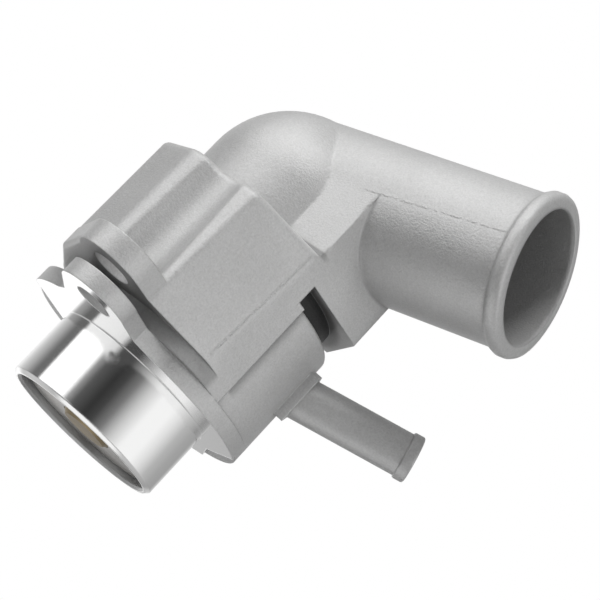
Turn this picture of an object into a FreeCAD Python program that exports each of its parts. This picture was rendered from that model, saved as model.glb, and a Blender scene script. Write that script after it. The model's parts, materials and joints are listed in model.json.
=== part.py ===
import FreeCAD, Part
import Sketcher
import math
import os
import re

from FreeCAD import Placement, Rotation, Vector

doc = FreeCAD.newDocument("thermostat_housing")
sheet = doc.addObject("Spreadsheet::Sheet", "dims")

# Lengths in millimetres, angles in degrees. The origin is on the spigot axis in the
# machined flange face, +Z runs up into the body and +X lies under the hose neck.
values = {
    # spigot and flange plate
    "spigotRadius": 20.0, "spigotLength": 17.25, "spigotChamfer": 0.8, "spigotWall": 2.0,
    "boreChamfer": 0.6, "plateThick": 4.0, "plateRadius": 29.4, "plateX": 0.3, "plateY": -1.5,
    "flatX": -22.2, "cutX": 27.6, "cutY": 8.8, "tabRootX": 16.0, "tabRootY": 17.0,
    "tabTipX": 10.6, "tabTipY": 26.0, "tabEndX": 2.0, "tabEndY": 28.6, "outside": 60.0,
    # bolt ears, front and back
    "boltRadius": 4.3, "earRadius": 8.8, "earTop": 13.0,
    "boltX": 6.4, "boltY": -37.6, "backBoltX": -10.5, "backBoltY": 36.5,
    "notchX": -6.2, "notchY": -31.6, "notchRootX": -9.5, "notchRootY": -29.2,
    "earLeftX": -1.9, "earLeftY": -40.6, "earRightX": 14.9, "earRightY": -35.4,
    "earRootX": 14.8, "earRootY": -29.5, "earBlendX": 19.5, "earBlendY": -23.4,
    "upperEarX": 4.7, "upperEarY": -38.9, "upperHole": 4.6,
    "earHeart": 15.0, "backLeftX": -18.96, "backLeftY": 34.07, "backRightX": -2.04,
    "backRightY": 38.93, "backRootX": -21.0, "backRootY": 19.0,
    "earTangentX": -1.67, "earTangentY": -44.98, "earSideX": 13.43, "earSideY": -39.9,
    "backTangentX": -18.97, "backTangentY": 38.85, "backEarX": -2.93, "backEarY": 40.99,
    "earUnderRound": 1.3,
    # barrel, groove above the plate and slot under the web
    "barrelRadius": 29.0, "barrelTop": 31.4, "barrelRound": 1.2, "grooveHeight": 3.5,
    "grooveRadius": 25.0, "flareX": 7.6, "flareY": -10.4, "flareRadius": 19.8, "grooveEndY": -15.0,
    "slotTop": 36.2, "slotStartY": -13.2, "drumRadius": 25.5,
    "reliefRadius": 0.9, "reliefX": 28.1, "reliefY": -10.0,
    # upper block, at its foot and at its deck
    "deckTop": 41.0, "ribY": -10.65, "ridgeY": -21.3,
    "ridgeTopX": 25.78, "ridgeTopY": -19.3, "wallX": 14.0, "wallY": -35.1, "wallTopX": 13.2,
    "wallTopY": -31.9,
    "cornerX": -17.3, "cornerY": -28.6, "draft": 0.3, "sideX": -24.2, "sideY": -16.0,
    "backSideY": 20.0, "backWallX": 3.0, "backWallY": 31.0,
    "backEndX": 17.0, "backEndY": 20.0, "heartX": 20.0, "heartY": -8.0, "pocketRadius": 8.0,
    "browX": -5.2, "browY": -34.1, "browLean": 1.0, "backBrowX": -21.0, "backBrowY": 30.5,
    "cornerRound": 3.0, "browRound": 6.0, "wallRound": 2.0, "shoulder": 2.0, "deckRound": 1.6,
    "creaseRound": 1.5,
    # dome, neck and web
    "domeRadius": 22.9, "domeHeight": 51.5, "domeWall": 4.5,
    "neckHeight": 57.4, "neckRise": 11.7, "neckRadius": 17.55, "neckBore": 15.4, "neckLength": 60.3,
    "beadRadius": 18.7, "beadWidth": 3.5, "beadRound": 1.1, "beadFacet": 0.35,
    "webRightX": 31.9, "webRightY": 5.4, "webCornerY": 7.6, "webHalf": 17.4,
    "webSideX": 23.4, "webBackX": 17.5, "webBackY": 24.5, "webBlockTop": 44.0,
    # small nipple and its square pad
    "nippleHeight": 14.14, "nippleTurn": 28.35, "nippleRise": 13.4, "nippleRadius": 5.14,
    "nippleBore": 3.6, "nippleLength": 59.8, "nippleBead": 5.64, "nippleBeadWidth": 2.8,
    "nippleBeadRound": 0.5, "nippleFacet": 0.15, "padReach": 30.9, "padHalf": 5.6, "padTop": 27.6,
    "padFoot": 13.6, "padSlant": 4.4, "padCorner": 1.6, "padCornerWidth": 3.6,
    # inner spaces of the casting
    "shoulderTop": 8.0, "throatRadius": 16.2, "throatTop": 11.0, "chamberRadius": 21.5,
    "chamberTop": 36.0,
    "ringGrooveDepth": 1.1,
    # clearances and the seated stack of the insert
    "fitGap": 0.05, "runGap": 0.08, "freeGap": 0.15, "insertGap": 0.2,
    "gasketThick": 1.2, "gasketWidth": 1.9, "seatThick": 1.2, "seatBore": 11.5,
    "frameThick": 1.0, "frameRim": 1.2, "frameFoot": -15.4, "windowWidth": 15.0,
    "windowFoot": -13.2, "windowDrop": 2.0, "flangeThick": 1.1, "ringThick": 1.15, "ringHalfGap": 9.0,
    # valve, wax capsule, pin, bridge and spring
    "valveLap": 1.2, "valveThick": 0.8, "valveDish": 2.4, "hubRadius": 8.2, "rubberLap": 0.6,
    "rubberThick": 0.6, "slopeShift": 0.4, "capsuleRadius": 6.5, "capsuleWall": 0.8, "capsuleFoot": -16.2,
    "capsuleTop": 0.5, "capsuleRim": 8.0, "rimThick": 0.9, "guideRadius": 4.0, "guideTop": 11.0,
    "clipRadius": 5.6, "clipThick": 0.7,
    "pinRadius": 2.0, "pinFoot": -9.0, "pinTop": 17.4, "sleeveWall": 1.0, "sleeveFlange": 1.0,
    "waxTop": -1.6, "bridgeThick": 1.2, "bridgeHalf": 4.5, "bridgeInset": 1.7, "bridgeHead": 4.6,
    "bridgeSlope": 0.6, "springInset": 0.6, "springWire": 0.9, "springTurns": 5, "springSides": 8,
    "springSteps": 20, "bleedHole": 0.95, "bleedStem": 0.87, "bleedHead": 1.4, "bleedFoot": 1.15,
    "bleedPlay": 0.6, "bleedThick": 1.0,
}

for row, (alias, value) in enumerate(values.items(), start=1):
    sheet.set(f"A{row}", alias)
    sheet.set(f"B{row}", str(value))
    sheet.setAlias(f"B{row}", alias)
doc.recompute()


def linked(formula):
    """The formula with each dimension read from the sheet."""
    return re.sub(r"[A-Za-z]\w*", lambda m: "dims." + m[0] if m[0] in values else m[0], formula)


def number(formula):
    """The formula's value, for the first drawing of a sketch."""
    return FreeCAD.Units.Quantity(re.sub(r"[A-Za-z]\w*", lambda m: str(values[m[0]]), formula)).Value


def tie(thing, prop, formula, unit="mm"):
    thing.setExpression(prop, f"({linked(formula)}) * 1 {unit}")


def stand(thing, x="0", y="0", z="0"):
    for axis, formula in zip("xyz", (x, y, z)):
        tie(thing, f"Placement.Base.{axis}", formula)
    return thing


def cylinder(name, radius, foot, top, x="0", y="0"):
    rod = doc.addObject("Part::Cylinder", name)
    tie(rod, "Radius", radius)
    tie(rod, "Height", f"({top}) - ({foot})")
    return stand(rod, x, y, foot)


def cone(name, low, high, foot, top, x="0", y="0"):
    flare = doc.addObject("Part::Cone", name)
    tie(flare, "Radius1", low)
    tie(flare, "Radius2", high)
    tie(flare, "Height", f"({top}) - ({foot})")
    return stand(flare, x, y, foot)


def box(name, x, y, z):
    block = doc.addObject("Part::Box", name)
    for prop, (low, high) in (("Length", x), ("Width", y), ("Height", z)):
        tie(block, prop, f"({high}) - ({low})")
    return stand(block, x[0], y[0], z[0])


def fuse(name, *shapes):
    union = doc.addObject("Part::MultiFuse", name)
    union.Shapes = list(shapes)
    union.Refine = True
    return union


def cut(name, base, *tools):
    part = doc.addObject("Part::Cut", name)
    part.Base = base
    part.Tool = tools[0] if len(tools) == 1 else fuse(name + "Tools", *tools)
    part.Refine = True
    return part


def outline(name, points, height="0", upright=False):
    """Closed outline of straight sides through points given as formulas, flat or upright in XZ."""
    plan = doc.addObject("Sketcher::SketchObject", name)
    if upright:
        plan.Placement = Placement(Vector(0, 0, 0), Rotation(Vector(1, 0, 0), 90))
    else:
        stand(plan, z=height)
    spots = [Vector(number(x), number(y), 0) for x, y in points]
    last = len(spots) - 1
    for i, spot in enumerate(spots):
        plan.addGeometry(Part.LineSegment(spot, spots[0 if i == last else i + 1]), False)
    for i in range(len(spots)):
        plan.addConstraint(Sketcher.Constraint("Coincident", i, 2, 0 if i == last else i + 1, 1))
    for i, (spot, (x, y)) in enumerate(zip(spots, points)):
        for kind, value, formula in (("DistanceX", spot.x, x), ("DistanceY", spot.y, y)):
            index = plan.addConstraint(Sketcher.Constraint(kind, -1, 1, i, 1, value))
            tie(plan, f"Constraints[{index}]", formula)
    return plan


def slab(name, points, foot, top):
    """Prism on a flat outline between two heights."""
    block = doc.addObject("Part::Extrusion", name)
    block.Base = outline(name + "Outline", points, foot)
    block.Dir = Vector(0, 0, 1)
    block.Solid = True
    tie(block, "LengthFwd", f"({top}) - ({foot})")
    return block


def turned(name, points):
    """Ring or rod turned about the Z axis from (radius, height) points."""
    ring = doc.addObject("Part::Revolution", name)
    ring.Source = outline(name + "Outline", points, upright=True)
    ring.Axis = Vector(0, 0, 1)
    ring.Angle = 360
    ring.Solid = True
    return ring


def rounded(name, base, sizes):
    """Fillets; sizes is a list of (radius, test), where the test picks edges by their middle point."""
    doc.recompute()
    fillet = doc.addObject("Part::Fillet", name)
    fillet.Base = base
    picked = []
    for place, edge in enumerate(base.Shape.Edges, start=1):
        low, high = edge.ParameterRange
        middle = edge.valueAt((low + high) / 2)
        for radius, test in sizes:
            if test(edge, middle):
                picked.append((place, radius, radius))
                break
    fillet.Edges = picked
    return fillet


def aimed(thing, along, height, rise, turn="0"):
    """Point a rod's +Z up a line that starts on the Z axis, rising and turned by the given angles."""
    base = f"vector(({along}) * cos({rise}) * cos({turn}); ({along}) * cos({rise}) * sin({turn});"
    lift = f" ({height}) + ({along}) * sin({rise}))"
    swing = f"rotation(vector(0; 0; 1); {turn}) * rotation(vector(0; 1; 0); 90 - ({rise}))"
    thing.setExpression("Placement", linked(f"placement({base}{lift}; {swing})"))
    return thing


def rod(name, radius, start, end, height, rise, turn="0"):
    bar = doc.addObject("Part::Cylinder", name)
    tie(bar, "Radius", radius)
    tie(bar, "Height", f"({end}) - ({start})")
    return aimed(bar, start, height, rise, turn)


grooveTop = "plateThick + grooveHeight"
boreRadius = "(spigotRadius - spigotWall)"
ringGrooveRadius = f"({boreRadius} + ringGrooveDepth)"

# The insert's stack, from the gasket down to the valve's hub
insertRadius = f"({boreRadius} - insertGap)"
frameRadius = f"({insertRadius} - frameRim)"
frameInner = f"({frameRadius} - frameThick)"
gasketBore = f"({insertRadius} - gasketWidth)"
valveRadius = "(seatBore + valveLap)"
rubberBore = "(seatBore - rubberLap)"
springRadius = f"({valveRadius} - springInset - springWire)"
seatTop = "shoulderTop - fitGap - gasketThick"
seatFoot = f"{seatTop} - seatThick"
flangeFoot = f"{seatFoot} - fitGap - flangeThick"
ringTop = f"{flangeFoot} - fitGap"
valveTop = f"{seatFoot} - fitGap - rubberThick"
valveFoot = f"{valveTop} - valveThick"
hubFoot = f"{valveFoot} - valveDish"
bleedX = f"({valveRadius} + {frameInner}) / 2"


def onRib(y):
    """X of the flat side of rib and web at the given Y."""
    slope = "(webRightX - ridgeTopX) / (webRightY - ridgeTopY)"
    return f"ridgeTopX + ({y} - ridgeTopY) * {slope}"


def flangePlate():
    """Flange plate: a disc with a flat side, a cut corner, a tab and two bolt ears."""
    disc = cylinder("plateDisc", "plateRadius", "0", "plateThick", "plateX", "plateY")
    flat = box("plateFlat", ("-outside", "flatX"), ("-outside", "outside"), ("-1", "plateThick + 1"))
    corner = slab("plateCorner", [("cutX", "cutY"), ("outside", "cutY"), ("outside", "outside"),
                                  ("tabEndX", "outside"), ("tabEndX", "tabEndY"), ("tabTipX", "tabTipY"),
                                  ("tabRootX", "tabRootY")], "-1", "plateThick + 1")
    trimmed = cut("plateTrimmed", disc, flat, corner)
    front = slab("plateEar", [("notchRootX", "notchRootY"), ("notchX", "notchY"), ("earLeftX", "earLeftY"),
                              ("earRightX", "earRightY"), ("earRootX", "earRootY"),
                              ("earBlendX", "earBlendY"), ("earHeart", "-earHeart"),
                              ("-earHeart / 3", "-earHeart")], "0", "plateThick")
    back = slab("plateBackEar", [("backLeftX", "backLeftY"), ("backRightX", "backRightY"),
                                 ("tabEndX", "tabEndY"), ("earHeart / 3", "earHeart"),
                                 ("-earHeart", "earHeart"), ("backRootX", "backRootY")], "0", "plateThick")
    tips = [cylinder("plateEarTip", "earRadius", "0", "plateThick", "boltX", "boltY"),
            cylinder("plateBackTip", "earRadius", "0", "plateThick", "backBoltX", "backBoltY")]
    return fuse("flangePlate", trimmed, front, back, *tips)


def barrel():
    """Round body over the plate, with the groove that parts the ears from the plate."""
    drum = rounded("barrelDrum", cylinder("barrelRod", "barrelRadius", "1", "barrelTop"),
                   [(values["barrelRound"], lambda edge, middle: middle.z > values["barrelTop"] - 0.1)])
    reach = slab("grooveReach", [("outside", "grooveEndY"), ("0", "grooveEndY"), ("0", "outside"),
                                 ("-outside", "outside"), ("-outside", "-outside"),
                                 ("outside", "-outside")], "plateThick", grooveTop)
    core = fuse("grooveCore", cylinder("grooveWall", "grooveRadius", "plateThick - 1", f"{grooveTop} + 1"),
                cylinder("grooveFlare", "flareRadius", "plateThick - 1", f"{grooveTop} + 1",
                         "flareX", "flareY"))
    groove = cut("groove", reach, core)
    undercut = rounded("barrelUndercut", cut("barrelGrooved", drum, groove),
                       [(values["earUnderRound"], underRim)])
    relief = cylinder("ribRelief", "reliefRadius", "plateThick", "barrelTop + 1", "reliefX", "reliefY")
    return undercut, groove, relief


def near(x, y, reach):
    """Test that picks the upright edges close to a point of the plan."""
    return lambda edge, middle: steep(edge) > 0.95 and math.hypot(middle.x - x, middle.y - y) < reach


def steep(edge):
    """How upright an edge stands, from 0 for level to 1."""
    low, high = edge.ParameterRange
    return abs((edge.valueAt(high) - edge.valueAt(low)).z) / edge.Length


def atDeck(edge, middle):
    """Test that picks the outer edges of the deck, not those inside the web."""
    inWeb = middle.x > values["backEndX"] - 1 and middle.y > values["ridgeTopY"]
    return middle.z > values["deckTop"] - 0.01 and not inWeb


def atCrease(edge, middle):
    """Test that picks the creases where the web and the neck run into the dome."""
    high = values["webBlockTop"] + 1 < middle.z < values["domeHeight"] + values["domeRadius"] - 2
    return high and 0 < middle.x < values["domeRadius"] - values["webHalf"] / 3


def underEar(edge, middle):
    """Test that picks the lower edges of the ear's rounded left corner."""
    return (abs(middle.z - number(grooveTop)) < 0.01 and middle.x < values["earTangentX"]
            and middle.y < values["sideY"])


def underRim(edge, middle):
    """Test that picks the barrel's lower rim over the groove."""
    atRim = math.hypot(middle.x, middle.y) > values["barrelRadius"] - 0.1
    return atRim and abs(middle.z - number(grooveTop)) < 0.01


def upperBlock():
    """Tall block with the front wall, the flat rib and the pockets over the two ears."""
    foot = [(onRib("ribY"), "ribY"), (onRib("ridgeY"), "ridgeY"), ("wallX", "wallY"),
            ("browX", "browY - browLean"), ("cornerX", "cornerY"), ("sideX", "sideY"), ("sideX", "backSideY"),
            ("backBrowX", "backBrowY"), ("backWallX", "backWallY"),
            ("backEndX", "backEndY"), ("heartX", "heartY")]
    deck = [(onRib("ribY"), "ribY"), ("ridgeTopX", "ridgeTopY"), ("wallTopX", "wallTopY"), ("browX", "browY"),
            ("cornerX + draft", "cornerY + draft"), ("sideX + draft", "sideY"),
            ("sideX + draft", "backSideY"), ("backBrowX + draft", "backBrowY - draft"),
            ("backWallX", "backWallY - draft"), ("backEndX", "backEndY"), ("heartX", "heartY")]
    loft = doc.addObject("Part::Loft", "blockLoft")
    loft.Sections = [outline("blockFoot", foot, "plateThick"), outline("blockDeck", deck, "deckTop")]
    loft.Solid, loft.Ruled = True, True
    pockets = [cylinder("pocket", "pocketRadius", "plateThick", "deckTop + 1", "upperEarX", "upperEarY"),
               cylinder("backPocket", "pocketRadius", "plateThick", "deckTop + 1", "backBoltX", "backBoltY")]
    pockets[1].Placement.Rotation = Rotation(Vector(0, 0, 1), 90)
    noseSpace = box("noseSpace", ("-outside", "0"), ("-outside", "0"),
                    ("plateThick - 1", f"{grooveTop} + earUnderRound"))
    body = cut("blockPocketed", loft, noseSpace, *pockets)
    soft = rounded("blockSoft", body, [
        (values["cornerRound"], near(values["cornerX"], values["cornerY"], 2)),
        (values["cornerRound"], near(values["sideX"], values["sideY"], 2)),
        (values["cornerRound"], near(values["sideX"], values["backSideY"], 2)),
        (values["browRound"], near(values["browX"], values["browY"], 1.5)),
        (values["wallRound"], near(values["wallX"], values["wallY"], 3.1)),
        (values["cornerRound"], near(values["backBrowX"], values["backBrowY"], 1)),
        (values["shoulder"], near(values["upperEarX"], values["upperEarY"], values["pocketRadius"] + 0.5)),
        (values["shoulder"], near(values["backBoltX"], values["backBoltY"], values["pocketRadius"] + 0.5)),
    ])
    eased = rounded("blockEased", soft, [(values["deckRound"], atDeck)])
    front = slab("blockEarSlab", [("cornerX", "cornerY"), ("earTangentX", "earTangentY"),
                                  ("earSideX", "earSideY"), ("wallX", "wallY"),
                                  ("earHeart", "-earHeart"), ("sideX", "sideY")], grooveTop, "earTop")
    front = rounded("blockEarCorner", front,
                    [(values["cornerRound"], near(values["cornerX"], values["cornerY"], 1))])
    front = rounded("blockEar", front, [(values["earUnderRound"], underEar)])
    back = slab("blockBackEar", [("sideX", "backSideY"), ("backTangentX", "backTangentY"),
                                 ("backEarX", "backEarY"), ("backWallX", "backWallY"),
                                 ("earHeart / 3", "earHeart"), ("-earHeart", "earHeart")], grooveTop, "earTop")
    tips = [cylinder("blockEarTip", "earRadius", grooveTop, "earTop", "upperEarX", "upperEarY"),
            cylinder("blockBackTip", "earRadius", grooveTop, "earTop", "backBoltX", "backBoltY")]
    return fuse("upperBlock", eased, front, back, *tips)


def web():
    """Web under the neck: a slanted front face, a cut corner and a back wing."""
    sides = [("0", "-webHalf"), (onRib("-webHalf"), "-webHalf"), ("webRightX", "webRightY"),
             ("webRightX", "webCornerY")]
    wing = slab("webWing", sides + [("webBackX", "webBackY"), ("0", "webHalf")], "slotTop", "webBlockTop")
    wall = slab("webWall", sides + [("webSideX", "webHalf"), ("0", "webHalf")], "slotTop",
                "neckHeight + neckRadius")
    over = doc.addObject("Part::Box", "webOver")
    for prop in ("Length", "Width", "Height"):
        tie(over, prop, "2 * outside")
    over.setExpression("Placement", linked(
        "placement(vector(-outside / 3; -outside; neckHeight - outside / 3 * tan(neckRise));"
        " rotation(vector(0; 1; 0); -neckRise))"))
    return wing, cut("webTrimmed", wall, over)


def ball(name, radius, height):
    globe = doc.addObject("Part::Sphere", name)
    tie(globe, "Radius", radius)
    return stand(globe, z=height)


def dome(name, radius, foot):
    """Upright round wall closed by half a ball."""
    return fuse(name, cylinder(name + "Wall", radius, foot, "domeHeight"),
                ball(name + "Ball", radius, "domeHeight"))


def bead(name, radius, rim, length, width, easing, facet, *aim):
    """Raised ring at a pipe's mouth, with eased shoulders and a narrow flat crest."""
    foot = f"{length} - {width}"
    return aimed(turned(name, [
        (f"{radius} - {easing}", foot), (f"{rim} - {easing}", foot),
        (f"{rim} - {facet}", f"{foot} + {facet}"), (rim, f"{foot} + {easing}"),
        (rim, f"{length} - {easing}"), (f"{rim} - {facet}", f"{length} - {facet}"),
        (f"{rim} - {easing}", length), (f"{radius} - {easing}", length)]), "0", *aim)


def neck():
    """Hose neck with its bead, closed by a ball where it turns down into the dome."""
    aim = ("neckHeight", "neckRise")
    return (ball("neckElbow", "neckRadius", "neckHeight"), rod("neckPipe", "neckRadius", "0", "neckLength", *aim),
            bead("neckBead", "neckRadius", "beadRadius", "neckLength", "beadWidth", "beadRound",
                 "beadFacet", *aim))


def nipple():
    aim = ("nippleHeight", "nippleRise", "nippleTurn")
    pad = doc.addObject("Part::Extrusion", "nipplePad")
    pad.Base = outline("nipplePadOutline", [
        ("-padHalf", "padFoot"), ("padHalf", "padFoot + padSlant"), ("padHalf", "padTop"),
        ("padCornerWidth - padHalf", "padTop"), ("-padHalf", "padTop - padCorner")], upright=True)
    pad.DirMode, pad.Solid = "Normal", True
    tie(pad, "LengthFwd", "padReach")
    pad.setExpression("Placement", linked(
        "placement(vector(0; 0; 0); rotation(vector(0; 0; 1); 90 + nippleTurn))"))
    return (rod("nipplePipe", "nippleRadius", "chamberRadius", "nippleLength", *aim), pad,
            bead("nippleBeadRing", "nippleRadius", "nippleBead", "nippleLength", "nippleBeadWidth",
                 "nippleBeadRound", "nippleFacet", *aim))


def cavity():
    """Bore, throat, chamber, dome space, neck and nipple bores, ring groove and bolt holes."""
    spaces = [
        cone("boreMouth", f"{boreRadius} + boreChamfer", boreRadius, "-spigotLength",
             "boreChamfer - spigotLength"),
        cylinder("bore", boreRadius, "-spigotLength - 1", "shoulderTop"),
        cylinder("throat", "throatRadius", "shoulderTop - 1", "throatTop + 1"),
        cylinder("chamber", "chamberRadius", "throatTop", "chamberTop"),
        cylinder("ringGroove", ringGrooveRadius, f"{ringTop} - ringThick - fitGap", ringTop),
        dome("domeSpace", "domeRadius - domeWall", "throatTop"),
        rod("neckSpace", "neckBore", "0", "neckLength + 1", "neckHeight", "neckRise"),
        rod("nippleSpace", "nippleBore", "throatRadius", "nippleLength + 1", "nippleHeight",
            "nippleRise", "nippleTurn"),
        cylinder("boltHole", "boltRadius", "-1", "plateThick + 1", "boltX", "boltY"),
        cylinder("upperBoltHole", "upperHole", "plateThick + 1", "earTop + 1", "upperEarX", "upperEarY"),
        cylinder("backBoltHole", "boltRadius", "-1", "earTop + 1", "backBoltX", "backBoltY"),
    ]
    return fuse("cavity", *spaces)


def housing():
    drum, groove, relief = barrel()
    spigot = [cylinder("spigot", "spigotRadius", "spigotChamfer - spigotLength", "1"),
              cone("spigotLead", "spigotRadius - spigotChamfer", "spigotRadius", "-spigotLength",
                   "spigotChamfer - spigotLength")]
    slot = cut("slot", slab("slotReach", [("0", "slotStartY"), ("outside", "slotStartY"),
                                          ("outside", "outside"), ("0", "outside")], "barrelTop", "slotTop"),
               cylinder("slotCore", "drumRadius", "barrelTop - 1", "slotTop + 1"))
    upper = cylinder("drum", "drumRadius", "barrelTop - 3", "deckTop")
    solid = fuse("castingSolid", flangePlate(), drum, *spigot, upper, upperBlock())
    body = cut("castingCut", solid, groove, slot, relief)
    whole = fuse("casting", body, *web(), dome("dome", "domeRadius", "barrelTop"), *neck(),
                 *nipple())
    return cut("housing", rounded("castingEased", whole, [(values["creaseRound"], atCrease)]), cavity())


def ringOf(name, inner, outer, foot, top):
    return turned(name, [(inner, foot), (outer, foot), (outer, top), (inner, top)])


def seatPlate():
    plate = ringOf("seatPlateRing", "seatBore", insertRadius, seatFoot, seatTop)
    hole = cylinder("bleedHoleRod", "bleedHole", f"{seatFoot} - 1", f"{seatTop} + 1", bleedX)
    return cut("seat_plate", plate, hole)


def frame():
    """Pressed cup with a rim, four windows and a guide hole for the capsule."""
    cup = turned("frameCup", [
        ("capsuleRadius + runGap", "frameFoot"), (frameRadius, "frameFoot"), (frameRadius, flangeFoot),
        (insertRadius, flangeFoot), (insertRadius, f"{seatFoot} - fitGap"),
        (frameInner, f"{seatFoot} - fitGap"), (frameInner, "frameFoot + frameThick"),
        ("capsuleRadius + runGap", "frameFoot + frameThick")])
    reach = ("-outside / 2", "outside / 2")
    across = ("-windowWidth / 2", "windowWidth / 2")
    high = ("windowFoot", f"{flangeFoot} - windowDrop")
    return cut("frame", cup, box("windowsAlong", reach, across, high),
               box("windowsAcross", across, reach, high))


def retainingRing():
    ring = ringOf("ringWhole", f"{frameRadius} + freeGap", f"{ringGrooveRadius} - insertGap",
                  f"{ringTop} - ringThick", ringTop)
    gap = box("ringGapBox", ("0", "outside"), ("-ringHalfGap", "ringHalfGap"), ("0", "shoulderTop"))
    return cut("retaining_ring", ring, gap)


def mainValve():
    """Dished disc: a hub on the guide, a slope and a flat rim under the seat."""
    return turned("main_valve", [
        ("guideRadius + runGap", hubFoot), ("hubRadius", hubFoot),
        (f"{rubberBore} - rubberLap", valveFoot), (valveRadius, valveFoot), (valveRadius, valveTop),
        (f"{rubberBore} - rubberLap - slopeShift", valveTop),
        ("hubRadius - slopeShift", f"{hubFoot} + valveThick"),
        ("guideRadius + runGap", f"{hubFoot} + valveThick")])


def capsule():
    """Cup that holds the wax, with a rim rolled over the guide."""
    inner = "capsuleRadius - capsuleWall"
    return turned("capsule", [
        ("0", "capsuleFoot"), ("capsuleRadius - 1", "capsuleFoot"), ("capsuleRadius", "capsuleFoot + 1"),
        ("capsuleRadius", "capsuleTop - rimThick - 1"), ("capsuleRim", "capsuleTop - rimThick - 1"),
        ("capsuleRim", "capsuleTop - 1"), (inner, "capsuleTop - 1"), (inner, "capsuleFoot + capsuleWall"),
        ("0", "capsuleFoot + capsuleWall")])


def guide():
    foot = "capsuleTop - 1 + fitGap"
    return turned("capsule_guide", [
        ("pinRadius + fitGap", foot), ("capsuleRim", foot), ("capsuleRim", f"{hubFoot} - fitGap"),
        ("guideRadius", f"{hubFoot} - fitGap"), ("guideRadius", "guideTop - 1"),
        ("guideRadius - 1", "guideTop"), ("pinRadius + fitGap", "guideTop")])


def sleeve():
    top = "capsuleTop - 1"
    outer = "pinRadius + fitGap + sleeveWall"
    wide = "capsuleRadius - capsuleWall - fitGap"
    return turned("rubber_sleeve", [
        ("0", "pinFoot - fitGap - sleeveWall"), (outer, "pinFoot - fitGap - sleeveWall"),
        (outer, f"{top} - sleeveFlange"), (wide, f"{top} - sleeveFlange"), (wide, top),
        ("pinRadius + fitGap", top), ("pinRadius + fitGap", "pinFoot - fitGap"), ("0", "pinFoot - fitGap")])


def wax():
    foot = "capsuleFoot + capsuleWall + fitGap"
    outer = "capsuleRadius - capsuleWall - fitGap"
    under = "pinFoot - 2 * fitGap - sleeveWall"
    return turned("wax_charge", [
        ("0", foot), (outer, foot), (outer, "waxTop"), ("pinRadius + 2 * fitGap + sleeveWall", "waxTop"),
        ("pinRadius + 2 * fitGap + sleeveWall", under), ("0", under)])


def pin():
    return turned("piston_pin", [("0", "pinFoot"), ("pinRadius", "pinFoot"), ("pinRadius", "pinTop - 1"),
                                 ("pinRadius - 0.6", "pinTop"), ("0", "pinTop")])


def bridge():
    """Strip arch over the seat that holds the tip of the pin."""
    half = f"({gasketBore} - bridgeInset)"
    foot = f"{seatTop} + fitGap"
    top = "pinTop + bridgeThick"
    arch = doc.addObject("Part::Extrusion", "bridgeArch")
    arch.Base = outline("bridgeOutline", [
        (f"-{half}", foot), (f"bridgeThick - {half}", foot), ("-bridgeHead", "pinTop"),
        ("bridgeHead", "pinTop"), (f"{half} - bridgeThick", foot), (half, foot),
        ("bridgeHead + bridgeSlope", top), ("-bridgeHead - bridgeSlope", top)], upright=True)
    arch.DirMode = "Normal"
    arch.Solid, arch.Symmetric = True, True
    tie(arch, "LengthFwd", "2 * bridgeHalf")
    arch.Placement = Placement(Vector(0, 0, 0), Rotation(Vector(0, 0, 1), 90))
    return cut("bridge", arch, cylinder("pinSeat", "pinRadius + fitGap", "0", "pinTop + fitGap"))


def spring():
    """Coil under the valve rim, run in short straight steps, ground at neither end."""
    foot = number("frameFoot + frameThick + fitGap + springWire")
    rise = number(f"{valveFoot} - fitGap - springWire") - foot
    radius = number(springRadius)
    steps = round(values["springTurns"] * values["springSteps"])
    angles = [2 * math.pi * i / values["springSteps"] for i in range(steps + 1)]
    path = doc.addObject("Part::Polygon", "springPath")
    path.Nodes = [Vector(radius * math.cos(angle), radius * math.sin(angle), foot + rise * i / steps)
                  for i, angle in enumerate(angles)]
    wire = doc.addObject("Part::RegularPolygon", "springWireSection")
    tie(wire, "Circumradius", "springWire")
    wire.Polygon = round(values["springSides"])
    wire.Placement = Placement(Vector(radius, 0, foot), Rotation(Vector(1, 0, 0), 90))
    sweep = doc.addObject("Part::Sweep", "main_spring")
    sweep.Sections = [wire]
    sweep.Spine = (path, [])
    sweep.Solid, sweep.Frenet = True, False
    sweep.Transition = "Right corner"
    return sweep


def bleedPin():
    """Loose pin that hangs by its head in the seat plate and lets air past."""
    under = f"{seatFoot} - bleedPlay"
    over = f"{seatTop} + fitGap"
    return stand(turned("bleed_pin", [
        ("0", f"{under} - bleedThick"), ("bleedFoot", f"{under} - bleedThick"), ("bleedFoot", under),
        ("bleedStem", under), ("bleedStem", over), ("bleedHead", over),
        ("bleedHead", f"{over} + bleedThick"), ("0", f"{over} + bleedThick")]), bleedX)


def main():
    gasket = ringOf("gasket", gasketBore, insertRadius, seatTop, "shoulderTop - fitGap")
    rubber = ringOf("valve_rubber", rubberBore, valveRadius, valveTop, f"{seatFoot} - fitGap")
    clipFoot = f"{hubFoot} + valveThick + fitGap"
    clip = ringOf("valve_clip", "guideRadius", "clipRadius", clipFoot, f"{clipFoot} + clipThick")
    pieces = [housing(), gasket, seatPlate(), bridge(), frame(), retainingRing(), mainValve(), rubber,
              clip, capsule(), guide(), sleeve(), wax(), pin(), spring(), bleedPin()]
    doc.recompute()
    for thing in doc.Objects:
        if "Invalid" in thing.State or "Error" in thing.State:
            raise RuntimeError(f"{thing.Name} is {thing.State}")
    os.makedirs("parts", exist_ok=True)
    for piece in pieces:
        piece.Label = piece.Name
        shape = piece.Shape
        if shape.isNull() or not shape.isValid() or len(shape.Solids) < 1:
            raise RuntimeError(f"{piece.Name} has no valid solid")
        extent = shape.BoundBox
        print(f"{piece.Name}: {len(shape.Solids)} solid, {shape.Volume:.0f} mm3, "
              f"{extent.XLength:.1f} x {extent.YLength:.1f} x {extent.ZLength:.1f}")
        shape.exportStep(f"parts/{piece.Name}.step")


main()
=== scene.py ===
import bmesh
import bpy
import json
import math
from mathutils import Matrix, Vector


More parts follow.
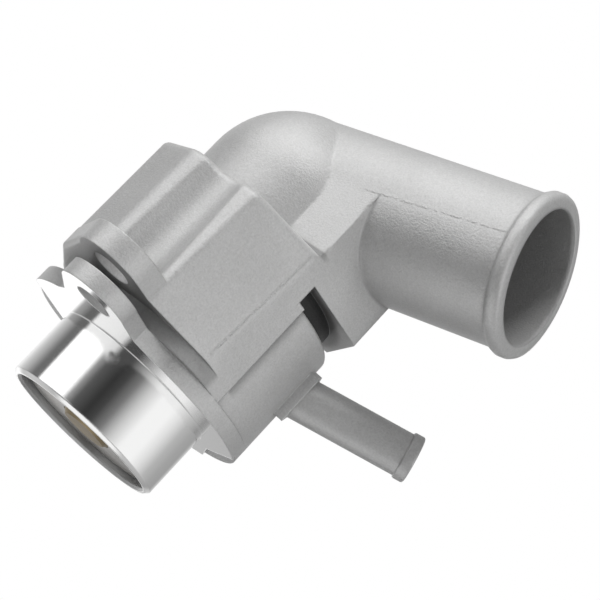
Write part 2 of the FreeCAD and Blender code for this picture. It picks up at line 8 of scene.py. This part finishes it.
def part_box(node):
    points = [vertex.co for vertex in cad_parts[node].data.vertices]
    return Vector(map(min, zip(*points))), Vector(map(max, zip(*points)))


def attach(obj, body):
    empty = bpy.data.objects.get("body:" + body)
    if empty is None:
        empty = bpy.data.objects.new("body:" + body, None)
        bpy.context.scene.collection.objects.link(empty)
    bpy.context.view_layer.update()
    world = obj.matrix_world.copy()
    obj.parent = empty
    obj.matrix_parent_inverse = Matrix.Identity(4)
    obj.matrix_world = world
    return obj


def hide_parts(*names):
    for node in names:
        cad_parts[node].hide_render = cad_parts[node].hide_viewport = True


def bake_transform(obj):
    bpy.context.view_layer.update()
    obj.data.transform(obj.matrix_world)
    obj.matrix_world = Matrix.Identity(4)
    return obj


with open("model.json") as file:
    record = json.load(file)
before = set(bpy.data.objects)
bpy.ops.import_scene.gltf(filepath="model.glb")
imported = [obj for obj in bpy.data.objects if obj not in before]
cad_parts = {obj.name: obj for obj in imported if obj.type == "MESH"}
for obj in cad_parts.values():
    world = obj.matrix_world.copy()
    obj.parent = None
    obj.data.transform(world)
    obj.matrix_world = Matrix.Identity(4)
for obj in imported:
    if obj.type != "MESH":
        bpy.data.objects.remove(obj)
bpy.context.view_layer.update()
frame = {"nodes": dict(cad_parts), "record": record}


# A shader socket, so that maths on values can be written as an expression
class Link:
    def __init__(self, tree, socket=None):
        self.tree = tree
        self.socket = socket

    def node(self, kind, settings=None, values=None, output=0):
        made = self.tree.nodes.new(kind)
        for name, value in (settings or {}).items():
            if name == "stops":
                ramp = made.color_ramp.elements
                while len(ramp) < len(value):
                    ramp.new(0.5)
                for element, (place, level) in zip(ramp, value):
                    element.position = place
                    element.color = grey(level)
            else:
                setattr(made, name, value)
        for name, value in (values or {}).items():
            target = made.inputs[name]
            if isinstance(value, Link):
                self.tree.links.new(value.socket, target)
            else:
                target.default_value = value
        return Link(self.tree, made.outputs[output] if made.outputs else None)

    def maths(self, operation, *terms):
        return self.node("ShaderNodeMath", {"operation": operation}, dict(enumerate(terms)))

    def __add__(self, other):
        return self.maths("ADD", self, other)

    def __radd__(self, other):
        return self.maths("ADD", other, self)

    def __sub__(self, other):
        return self.maths("SUBTRACT", self, other)

    def __rsub__(self, other):
        return self.maths("SUBTRACT", other, self)

    def __mul__(self, other):
        return self.maths("MULTIPLY", self, other)

    def __truediv__(self, other):
        return self.maths("DIVIDE", self, other)

    def step(self, low, high):
        return self.node("ShaderNodeMapRange", {"interpolation_type": "SMOOTHSTEP"},
                         {"Value": self, "From Min": low, "From Max": high})

    def between(self, low, high, soft):
        return self.step(low - soft, low + soft) * (1 - self.step(high - soft, high + soft))

    def larger(self, other):
        return self.maths("MAXIMUM", self, other)

    def root(self):
        return self.maths("SQRT", self)

    # The mix node takes its two colours at sockets 6 and 7 and gives its colour at output 2
    def mix(self, first, second):
        return self.node("ShaderNodeMix", {"data_type": "RGBA"},
                         {"Factor": self, 6: first, 7: second}, output=2)


def grey(level, tint=(1, 1, 1)):
    return (level * tint[0], level * tint[1], level * tint[2], 1)


def newMaterial(name):
    material = bpy.data.materials.new(name)
    material.use_nodes = True
    tree = material.node_tree
    tree.nodes.clear()
    return material, Link(tree)


def finishMaterial(material, start, sockets):
    shader = start.node("ShaderNodeBsdfPrincipled", None, sockets)
    start.node("ShaderNodeOutputMaterial", None, {"Surface": shader})
    return material


def objectPoint(start):
    return start.node("ShaderNodeTexCoord", output=3)


def noise(start, point, scale, detail, rough):
    return start.node("ShaderNodeTexNoise", None,
                      {"Vector": point, "Scale": scale, "Detail": detail, "Roughness": rough})


def bump(start, height, strength, distance, normal=None):
    values = {"Height": height, "Strength": strength, "Distance": distance}
    if normal is not None:
        values["Normal"] = normal
    return start.node("ShaderNodeBump", None, values)


# Cast housing: a blasted skin, turned bright on the spigot and under the flange plate. Places are in
# millimetres: two numbers are where a fade starts and ends, three are low, high and softness of the ends
# Painted shade darkens the colour in hollows, the groove, the creases, both bores and the slot
castLook = {
    "skin": 0.58, "skinDark": 0.55, "tint": (1.0, 1.0, 0.997), "skinRough": 0.42, "skinMetal": 0.50,
    "roughSpread": 0.15, "cloud": 60, "cloudFade": (0.3, 0.7), "grain": 2300, "pits": 900,
    "speckleAndShade": 0.40, "mottle": 0.16, "skinBump": 0.5, "skinStrength": 0.9, "skinDepth": 0.00018,
    "turned": 0.90, "turnedRough": 0.10, "turnLines": 5200, "turnedStrength": 0.02, "turnedDepth": 0.00002,
    # Painted shade: a darker grey in the spigot bore, the shade grey, and a nearly black grey in the slot
    "bore": 0.45, "boreRough": 0.34, "shade": 0.13, "slotShade": 0.03,
    # Shares of the painted shade grey in the groove, the rib corner and dome foot creases, and the neck bore
    "grooveShadeShare": 0.5, "creaseShadeShare": 0.6, "neckBoreShadeShare": 0.28,
    # Painted shade: occlusion over the hollow distance darkens the colour in hollows, down to the hollowShade
    # share
    "hollow": 0.0045, "hollowShade": 0.68, "hollowFade": (0.15, 0.95), "edge": 0.45, "softEdge": 1.6,
    "spigotSkin": (18.5, 18.7), "flangeFace": (0.04, 0.08), "boreTop": (10.0, 11.0),
    "slot": (31.4, 36.2, 0.15), "slotOuter": (26.8, 29.3), "slotSide": (0, 3),
    "groove": (4.0, 7.5, 0.1), "grooveFront": (-17.0, -15.0),
    "cornerSide": (24, 26), "cornerStart": (-10.75, -10.65), "cornerEnd": (-10.6, -7.2),
    "cornerHeight": (7.5, 31, 0.5), "footLine": (41.1, 42.3, 0.25), "footLineEnd": (26, 27),
    "neckHeight": 57.4, "neckRise": 11.7, "neckBoreStart": (14, 18), "neckBoreWall": (15.5, 15.9),
    "junctionStart": (13, 16), "junctionWall": (18.75, 19.95),
    "frontWall": (-18.6, -17.6), "frontHeight": (14.5, 41.5, 0.3),
    "domeFoot": (30, 36), "domeFootHeight": (40.2, 44, 0.6),
    "ribSeam": (-0.25, 0.25, 0.15), "ribSeamY": -21.4, "ribSeamFoot": 8, "ribSeamLean": 0.063,
    "ribSeamSide": (18, 20), "ribSeamHeight": (9, 40, 1),
    "neckSeam": (-0.2, 0.2, 0.15), "neckSeamDrop": 2.4, "neckSeamX": 29, "neckSeamLean": 0.045,
    "neckSeamLength": (22, 56.5, 1.5), "neckSeamSide": (-16.5, -15.5),
    "seamBump": 0.55, "seamBreaks": (0.40, 0.65),
}


# Places on the casting, each 1 inside and 0 outside
def castMasks(look, point):
    x, y, z = (point.node("ShaderNodeSeparateXYZ", None, {"Vector": point}, output=i) * 1000 for i in range(3))
    radius = (x * x + y * y).root()
    rise = math.radians(look["neckRise"])
    offAxis = (z - look["neckHeight"]) * math.cos(rise) - x * math.sin(rise)
    fromNeck = (offAxis * offAxis + y * y).root()

    outside = radius.step(*look["spigotSkin"])
    turned = (1 - z.step(*look["flangeFace"])) * outside
    # The spigot bore, painted a darker grey as shade
    bore = (1 - outside) * (1 - z.step(*look["boreTop"]))
    # The inside of the neck, where painted shade darkens the colour
    neckBore = x.step(*look["neckBoreStart"]) * (1 - fromNeck.step(*look["neckBoreWall"]))

    # Masks for painted shade: the slot, the groove under the body, the crease beside the rib and the line at the
    # dome foot
    slot = z.between(*look["slot"]) * (1 - radius.step(*look["slotOuter"])) * x.step(*look["slotSide"])
    groove = z.between(*look["groove"]) * (1 - y.step(*look["grooveFront"]))
    corner = x.step(*look["cornerSide"]) * y.step(*look["cornerStart"]) * (1 - y.step(*look["cornerEnd"]))
    corner = corner * z.between(*look["cornerHeight"])
    footLine = z.between(*look["footLine"]) * (1 - x.step(*look["footLineEnd"]))

    fromRib = y - (look["ribSeamY"] + (z - look["ribSeamFoot"]) * look["ribSeamLean"])
    ribSeam = fromRib.between(*look["ribSeam"]) * x.step(*look["ribSeamSide"]) * z.between(*look["ribSeamHeight"])
    fromLine = offAxis + look["neckSeamDrop"] - (x - look["neckSeamX"]) * look["neckSeamLean"]
    neckSeam = fromLine.between(*look["neckSeam"]) * x.between(*look["neckSeamLength"])
    neckSeam = neckSeam * (1 - y.step(*look["neckSeamSide"]))

    junction = x.step(*look["junctionStart"]) * (1 - fromNeck.step(*look["junctionWall"]))
    front = (1 - y.step(*look["frontWall"])) * z.between(*look["frontHeight"])
    domeFoot = (1 - radius.step(*look["domeFoot"])) * z.between(*look["domeFootHeight"])
    return {
        "turned": turned, "bore": bore, "neckBore": neckBore, "slot": slot, "groove": groove,
        "creaseShade": corner.larger(footLine), "seam": ribSeam.larger(neckSeam),
        "soft": junction.larger(front).larger(domeFoot),
    }


def castMaterial(look):
    material, start = newMaterial("castAluminium")
    point = objectPoint(start)
    masks = castMasks(look, point)
    cloud = noise(start, point, look["cloud"], 4, 0.6)
    grain = noise(start, point, look["grain"], 2, 0.6)
    pits = noise(start, point, look["pits"], 5, 0.7)
    edge = (look["edge"] + masks["soft"] * (look["softEdge"] - look["edge"])) * 0.001
    rounded = start.node("ShaderNodeBevel", {"samples": 8}, {"Radius": edge})
    # Painted shade: ambient occlusion darkens the skin colour in hollows and creases and is multiplied into the
    # speckle
    hollow = start.node("ShaderNodeAmbientOcclusion", {"samples": 8}, {"Distance": look["hollow"]}, output=1)
    shade = look["hollowShade"] + hollow.step(*look["hollowFade"]) * (1 - look["hollowShade"])
    speckleAndShade = shade * (1 + (grain - 0.5) * look["speckleAndShade"] + (pits - 0.5) * look["mottle"])
    darkSkin, paleSkin = grey(look["skinDark"], look["tint"]), grey(look["skin"], look["tint"])
    skinColour = cloud.step(*look["cloudFade"]).mix(darkSkin, paleSkin)
    skinColour = start.node("ShaderNodeMix", {"data_type": "RGBA", "blend_type": "MULTIPLY"},
                            {"Factor": 1.0, 6: skinColour, 7: speckleAndShade}, output=2)
    # Painted shade: the groove, the rib corner crease and the line along the dome foot are mixed towards the
    # shade grey
    paintedShade = (masks["groove"] * look["grooveShadeShare"]).larger(masks["creaseShade"] * look["creaseShadeShare"])
    skinColour = paintedShade.mix(skinColour, grey(look["shade"]))
    # Painted shade inside the neck bore
    skinColour = (masks["neckBore"] * look["neckBoreShadeShare"]).mix(skinColour, grey(look["shade"]))
    # Painted shade: the slot under the web is painted nearly black
    skinColour = masks["slot"].mix(skinColour, grey(look["slotShade"]))
    # Painted shade: the spigot bore is a darker grey
    skinColour = masks["bore"].mix(skinColour, grey(look["bore"]))
    turnLines = start.node("ShaderNodeTexWave", {"wave_type": "BANDS", "bands_direction": "Z"},
                           {"Vector": point, "Scale": look["turnLines"], "Distortion": 0.0})
    seam = masks["seam"] * pits.step(*look["seamBreaks"]) * look["seamBump"]
    skinHeight = grain * look["skinBump"] + pits * look["skinBump"] + seam
    skinBump = bump(start, skinHeight, look["skinStrength"], look["skinDepth"], rounded)
    turnedBump = bump(start, turnLines, look["turnedStrength"], look["turnedDepth"], rounded)
    smooth = masks["turned"].larger(masks["bore"])
    normal = smooth.node("ShaderNodeMix", {"data_type": "VECTOR"},
                         {"Factor": smooth, 4: skinBump, 5: turnedBump}, output=1)
    rough = look["skinRough"] + (grain - 0.5) * look["roughSpread"]
    rough = rough + masks["bore"] * (look["boreRough"] - look["skinRough"])
    rough = rough + masks["turned"] * (look["turnedRough"] - look["skinRough"])
    return finishMaterial(material, start, {
        "Base Color": masks["turned"].mix(skinColour, grey(look["turned"], look["tint"])),
        "Metallic": look["skinMetal"] + masks["turned"] * (1 - look["skinMetal"]),
        "Roughness": rough,
        "Normal": normal,
    })


# Sheet steel and turned brass of the insert
metalLook = {"dull": (0.82, 0.80, 0.78), "cloudSize": 8, "cloudFade": (0.35, 0.7), "roughSpread": 0.2,
             "strength": 0.12, "depth": 0.00005}


def metalMaterial(name, colour, rough, scale, look=metalLook):
    material, start = newMaterial(name)
    point = objectPoint(start)
    cloud = noise(start, point, scale / look["cloudSize"], 4, 0.6)
    fine = noise(start, point, scale, 3, 0.6)
    dull = (*(level * share for level, share in zip(colour, look["dull"])), 1)
    return finishMaterial(material, start, {
        "Base Color": cloud.step(*look["cloudFade"]).mix(dull, colour),
        "Metallic": 1.0,
        "Roughness": rough + (fine - 0.5) * look["roughSpread"],
        "Normal": bump(start, fine, look["strength"], look["depth"]),
    })


# Rubber and wax of the insert
softLook = {"pale": 1.5, "paleFade": (0.4, 0.75), "roughSpread": 0.25, "strength": 0.25, "depth": 0.0001}


def softMaterial(name, colour, rough, scale, look=softLook):
    material, start = newMaterial(name)
    point = objectPoint(start)
    fine = noise(start, point, scale, 4, 0.65)
    pale = (*(level * look["pale"] for level in colour[:3]), 1)
    return finishMaterial(material, start, {
        "Base Color": fine.step(*look["paleFade"]).mix(colour, pale),
        "Roughness": rough + (fine - 0.5) * look["roughSpread"],
        "Normal": bump(start, fine, look["strength"], look["depth"]),
    })


finishes = {
    "cast_aluminium": castMaterial(castLook),
    "stainless": metalMaterial("pressedSteel", (0.56, 0.55, 0.53, 1), 0.32, 900),
    "spring_steel": metalMaterial("springSteel", (0.42, 0.41, 0.4, 1), 0.35, 1500),
    "polished_steel": metalMaterial("polishedSteel", (0.72, 0.72, 0.72, 1), 0.16, 1500),
    "brass": metalMaterial("turnedBrass", (0.36, 0.295, 0.19, 1), 0.45, 900),
    "rubber": softMaterial("blackRubber", (0.018, 0.018, 0.019, 1), 0.6, 700),
    "wax": softMaterial("copperWax", (0.42, 0.2, 0.1, 1), 0.55, 500),
}
print("materials made:", len(finishes))


# Each piece is a merged copy of its solid, smooth but for its real edges
pieceLook = {"mergeDistance": 1e-6, "sharpAngle": 28}


def bodyOf(node):
    return next(name for name, members in frame["record"]["behaviour"]["bodies"].items() if node in members)


def slotOf(node):
    return next(part["material_slot"] for part in frame["record"]["subparts"] if part["node"] == node)


def dress(piece, node):
    piece.data.materials.clear()
    piece.data.materials.append(finishes[slotOf(node)])
    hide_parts(node)


def smoothPiece(node):
    source = frame["nodes"][node]
    mesh = source.data.copy()
    shape = bmesh.new()
    shape.from_mesh(mesh)
    bmesh.ops.remove_doubles(shape, verts=shape.verts, dist=pieceLook["mergeDistance"])
    limit = math.radians(pieceLook["sharpAngle"])
    for face in shape.faces:
        face.smooth = True
    for edge in shape.edges:
        edge.smooth = len(edge.link_faces) == 2 and edge.calc_face_angle(0) < limit
    shape.to_mesh(mesh)
    shape.free()
    mesh.name = node + "Smooth"
    piece = bpy.data.objects.new(node + "Smooth", mesh)
    bpy.context.scene.collection.objects.link(piece)
    weighted = piece.modifiers.new("faceNormals", "WEIGHTED_NORMAL")
    weighted.keep_sharp = True
    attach(piece, bodyOf(node))
    dress(piece, node)


# Round wire of the spring, wound from its foot on the frame to the valve that it presses
coilLook = {"wire": 0.0009, "sides": 14, "turns": 5, "stepsPerTurn": 48, "node": "main_spring"}


def coil(look):
    low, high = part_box(look["node"])
    radius = (high[0] - low[0]) / 2 - look["wire"]
    foot, top = low[2] + look["wire"], high[2] - look["wire"]
    steps = look["turns"] * look["stepsPerTurn"]
    shape = bmesh.new()
    ring = bmesh.ops.create_circle(shape, segments=look["sides"], radius=look["wire"])["verts"]
    bmesh.ops.rotate(shape, verts=ring, matrix=Matrix.Rotation(math.pi / 2, 3, "X"))
    bmesh.ops.translate(shape, verts=ring, vec=(radius, 0, foot))
    bmesh.ops.spin(shape, geom=shape.verts[:] + shape.edges[:], cent=(0, 0, 0), axis=(0, 0, 1),
                   dvec=(0, 0, (top - foot) / steps), angle=2 * math.pi * look["turns"], steps=steps)
    bmesh.ops.holes_fill(shape, edges=[edge for edge in shape.edges if edge.is_boundary], sides=look["sides"])
    bmesh.ops.recalc_face_normals(shape, faces=shape.faces)
    for face in shape.faces:
        face.smooth = len(face.verts) == 4
    mesh = bpy.data.meshes.new("springCoil")
    shape.to_mesh(mesh)
    shape.free()
    piece = bpy.data.objects.new("springCoil", mesh)
    bpy.context.scene.collection.objects.link(piece)
    dress(piece, look["node"])
    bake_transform(piece)


for node in sorted(frame["nodes"]):
    if node != coilLook["node"]:
        smoothPiece(node)
coil(coilLook)
print("pieces dressed:", len(frame["nodes"]))


# The floor lies below the camera, which looks up at the part as the photograph does
stageLook = {"floorHeight": -0.082, "floorSize": 3.0, "floor": 0.42, "floorRough": 0.8, "glow": 0.68}

floorMesh = bpy.data.meshes.new("floor")
floorShape = bmesh.new()
bmesh.ops.create_grid(floorShape, x_segments=1, y_segments=1, size=stageLook["floorSize"])
bmesh.ops.translate(floorShape, verts=floorShape.verts, vec=(0, 0, stageLook["floorHeight"]))
floorShape.to_mesh(floorMesh)
floorShape.free()
floor = bpy.data.objects.new("floor", floorMesh)
bpy.context.scene.collection.objects.link(floor)
floorMaterial, floorStart = newMaterial("paleFloor")
seenByCamera = floorStart.node("ShaderNodeLightPath", output=0)
floorMesh.materials.append(finishMaterial(floorMaterial, floorStart, {
    "Base Color": grey(stageLook["floor"]), "Roughness": stageLook["floorRough"], "Emission Strength": 1.0,
    "Emission Color": seenByCamera.mix(grey(0), grey(stageLook["glow"])),
}))
floor.visible_glossy = False

# What bright metal mirrors: soft boxes and the dark side of the room, as levels by compass angle, one list
# for each height. Two numbers are the sines of elevation between which one list fades into the next
studio = {
    "plain": 0.08, "backdrop": 1.0,
    "belt": [(-180, 0.40), (-165, 0.16), (-152, 0.15), (-149, 1.3), (-106, 1.3), (-100, 0.34), (-90, 0.10),
             (-70, 0.035), (-58, 0.06), (-43, 0.20), (-27, 0.62), (-8, 1.0), (15, 1.0), (30, 0.82),
             (50, 0.50), (70, 0.40), (92, 0.36), (108, 0.60), (120, 0.95), (145, 0.90), (165, 0.60), (180, 0.40)],
    "under": [(-180, 0.30), (-165, 0.14), (-150, 0.14), (-146, 1.0), (-95, 0.9), (-86, 0.08), (-66, 0.08),
              (-45, 0.45), (-20, 1.0), (15, 1.0), (45, 0.60), (75, 0.32), (95, 0.40), (108, 0.60), (119, 0.38),
              (124, 0.50), (127, 1.15), (145, 1.15), (165, 0.40), (180, 0.30)],
    "over": [(-180, 0.25), (-165, 0.80), (-148, 1.35), (-98, 1.35), (-80, 0.05), (20, 0.05), (60, 0.30),
             (150, 0.30), (180, 0.25)],
    "high": [(-180, 0.55), (-150, 1.20), (-70, 1.15), (-50, 0.10), (60, 0.30), (150, 0.40), (180, 0.55)],
    "top": [(-180, 0.20), (180, 0.20)],
    "below": [(-180, 0.60), (-150, 0.45), (-120, 0.10), (-90, 0.05), (-53, 0.30), (0, 0.30), (50, 0.60),
              (117, 0.25), (150, 0.60), (180, 0.60)],
    "beltFoot": (-0.18, 0.02), "belowTop": (-0.41, -0.24), "deepTop": (-0.93, -0.84), "deep": 1.0,
    "shelves": {"over": (0.34, 0.50), "high": (0.60, 0.71), "top": (0.85, 0.95)},
}

world = bpy.data.worlds.new("studio")
bpy.context.scene.world = world
world.use_nodes = True
world.node_tree.nodes.clear()
sky = Link(world.node_tree)
direction = sky.node("ShaderNodeTexCoord", output=0)
across, along, lift = (sky.node("ShaderNodeSeparateXYZ", None, {"Vector": direction}, output=i) for i in range(3))
turn = along.maths("ARCTAN2", along, across) / (2 * math.pi) + 0.5


def boxes(stops):
    places = [((angle + 180) / 360, level) for angle, level in stops]
    return turn.node("ShaderNodeValToRGB", {"stops": places}, {"Fac": turn})


mirrored = lift.step(*studio["beltFoot"]).mix(boxes(studio["under"]), boxes(studio["belt"]))
mirrored = lift.step(*studio["belowTop"]).mix(boxes(studio["below"]), mirrored)
mirrored = lift.step(*studio["deepTop"]).mix(grey(studio["deep"]), mirrored)
for shelf, rise in studio["shelves"].items():
    mirrored = lift.step(*rise).mix(mirrored, boxes(studio[shelf]))
# Outputs of the light path: 0 seen by the camera, 3 mirrored, 6 seen through a clear piece
cameraRay = sky.node("ShaderNodeLightPath", output=0)
glossyRay = sky.node("ShaderNodeLightPath", output=3)
clearRay = sky.node("ShaderNodeLightPath", output=6)
lit = glossyRay.larger(clearRay).mix(grey(studio["plain"]), mirrored)
backdrop = cameraRay.mix(lit, grey(studio["backdrop"]))
light = sky.node("ShaderNodeBackground", None, {"Color": backdrop, "Strength": 1.0})
sky.node("ShaderNodeOutputWorld", None, {"Surface": light})

# Soft lamps with place and size in metres and power in watts, all turned to one point in the part
lampLook = {
    "key": {"place": (0.010, -0.510, 0.715), "size": 0.35, "power": 7.8},
    "left": {"place": (-0.347, -0.507, 0.616), "size": 0.35, "power": 1.2},
    "right": {"place": (0.75, -0.25, 0.30), "size": 0.4, "power": 2.6},
    "rear": {"place": (-0.2, 0.7, 0.45), "size": 0.5, "power": 3.0},
}
lampAim = Vector((0.01, 0, 0.035))
for name, lamp in lampLook.items():
    data = bpy.data.lights.new(name, "AREA")
    data.shape = "SQUARE"
    data.size = lamp["size"]
    data.energy = lamp["power"]
    item = bpy.data.objects.new(name, data)
    bpy.context.scene.collection.objects.link(item)
    place = Vector(lamp["place"])
    turned = (place - lampAim).to_track_quat("Z", "Y").to_matrix().to_4x4()
    item.matrix_world = Matrix.Translation(place) @ turned
    item.visible_camera = False
    item.visible_glossy = False

# The camera as solved from the photograph: its place and axes in the part's frame, lens and film in millimetres
cameraLook = {
    "place": (0.24671, -0.35087, -0.06738), "right": (0.70245, 0.26281, 0.66143),
    "up": (-0.47529, -0.51852, 0.7108), "back": (0.52977, -0.81368, -0.23932),
    "lens": 117.86, "film": 36, "near": 0.01, "far": 20,
}
cameraData = bpy.data.cameras.new("camera")
camera = bpy.data.objects.new("camera", cameraData)
bpy.context.scene.collection.objects.link(camera)
turnMatrix = Matrix((cameraLook["right"], cameraLook["up"], cameraLook["back"])).transposed()
camera.matrix_world = Matrix.Translation(cameraLook["place"]) @ turnMatrix.to_4x4()
cameraData.lens = cameraLook["lens"]
cameraData.sensor_width = cameraLook["film"]
cameraData.clip_start = cameraLook["near"]
cameraData.clip_end = cameraLook["far"]
bpy.context.scene.camera = camera
bpy.context.scene.view_settings.view_transform = "Standard"
print("stage, lamps and camera set")
